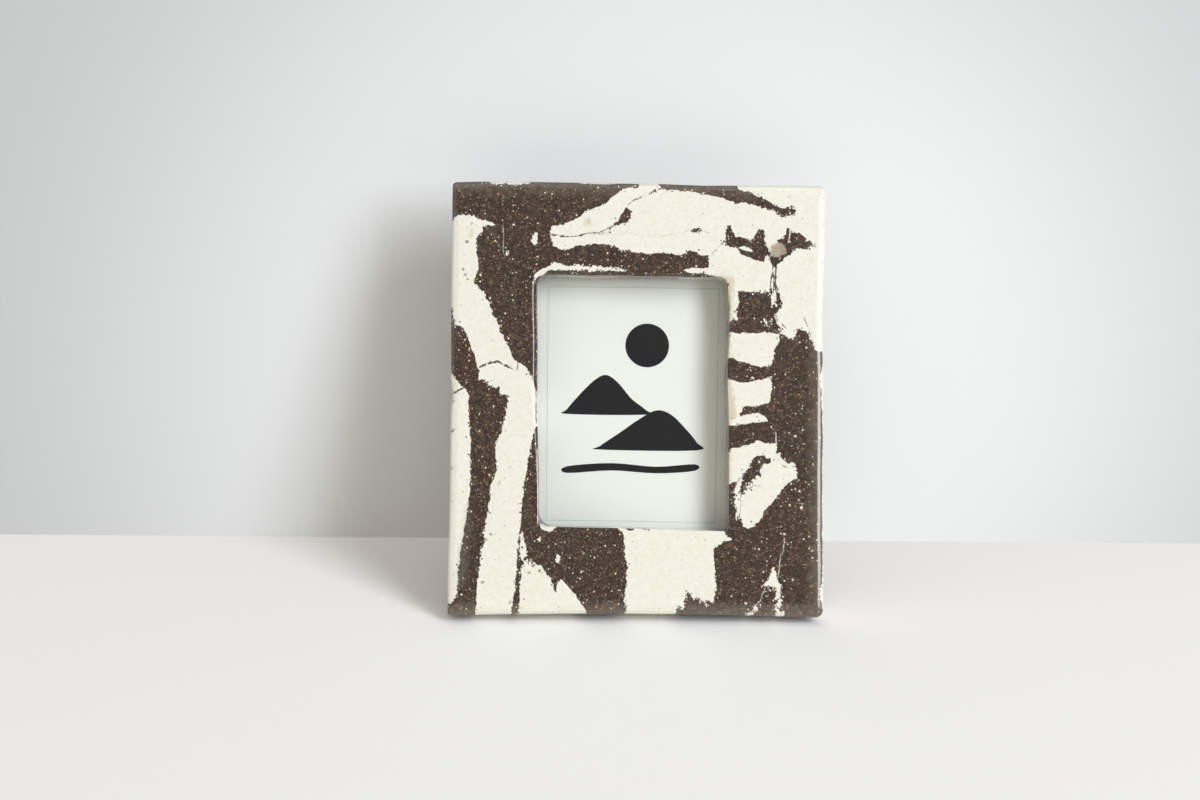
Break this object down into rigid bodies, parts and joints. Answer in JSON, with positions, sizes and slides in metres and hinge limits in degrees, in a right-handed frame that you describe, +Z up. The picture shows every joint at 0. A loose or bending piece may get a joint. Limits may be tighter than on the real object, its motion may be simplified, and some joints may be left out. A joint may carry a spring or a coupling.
{
  "type": "photo frame",
  "caption": "Small upright photo frame of marbled stoneware with a glazed window, a removable back board held by turn buttons, and a folding easel strut.",
  "frame": {"origin": "on the table under the middle of the standing frame's box", "axes": "+Z up, +X to the right seen from the front, +Y towards the back; the front looks along -Y and leans back 18 degrees"},
  "size_m": [0.091, 0.0552, 0.1019],
  "materials": {
    "marbled_stoneware": "two clays marbled, satin clear glaze",
    "picture_glass": "clear",
    "picture_paper": "matt",
    "faced_board": "MDF faced with black paper",
    "zinc_plated_steel": "bright zinc",
    "brass": "satin",
    "nylon": "moulded"
  },
  "bodies": {
    "frame": {"frame_body": "marbled_stoneware", "clear_pane": "picture_glass", "picture_card": "picture_paper", "back_board": "faced_board", "screw_plug_upper_left": "nylon", "button_screw_upper_left": "zinc_plated_steel", "screw_plug_upper_right": "nylon", "button_screw_upper_right": "zinc_plated_steel", "screw_plug_lower_left": "nylon", "button_screw_lower_left": "zinc_plated_steel", "screw_plug_lower_right": "nylon", "button_screw_lower_right": "zinc_plated_steel", "hinge_fixed_leaf": "brass", "hinge_pin": "zinc_plated_steel", "board_rivet_left": "brass", "board_rivet_right": "brass"},
    "strut": {"easel_strut": "faced_board", "hinge_moving_leaf": "brass", "strut_rivet_left": "brass", "strut_rivet_right": "brass"},
    "turn_button_upper_left": {"turn_button_upper_left": "zinc_plated_steel"},
    "turn_button_upper_right": {"turn_button_upper_right": "zinc_plated_steel"},
    "turn_button_lower_left": {"turn_button_lower_left": "zinc_plated_steel"},
    "turn_button_lower_right": {"turn_button_lower_right": "zinc_plated_steel"}
  },
  "joints": [
    {"name": "strut_hinge", "type": "hinge", "parent": "frame", "child": "strut", "pos_m": [-0.0014, 0.0079, 0.06652], "axis": [1, 0, 0], "range_deg": [-30, 0]},
    {"name": "turn_button_upper_left", "type": "hinge", "parent": "frame", "child": "turn_button_upper_left", "pos_m": [-0.0335, 0.00592, 0.06721], "axis": [0, 0.9511, -0.309], "continuous": true},
    {"name": "turn_button_upper_right", "type": "hinge", "parent": "frame", "child": "turn_button_upper_right", "pos_m": [0.0307, 0.00592, 0.06721], "axis": [0, 0.9511, -0.309], "continuous": true},
    {"name": "turn_button_lower_left", "type": "hinge", "parent": "frame", "child": "turn_button_lower_left", "pos_m": [-0.0335, -0.00644, 0.02917], "axis": [0, 0.9511, -0.309], "continuous": true},
    {"name": "turn_button_lower_right", "type": "hinge", "parent": "frame", "child": "turn_button_lower_right", "pos_m": [0.0307, -0.00644, 0.02917], "axis": [0, 0.9511, -0.309], "continuous": true}
  ]
}
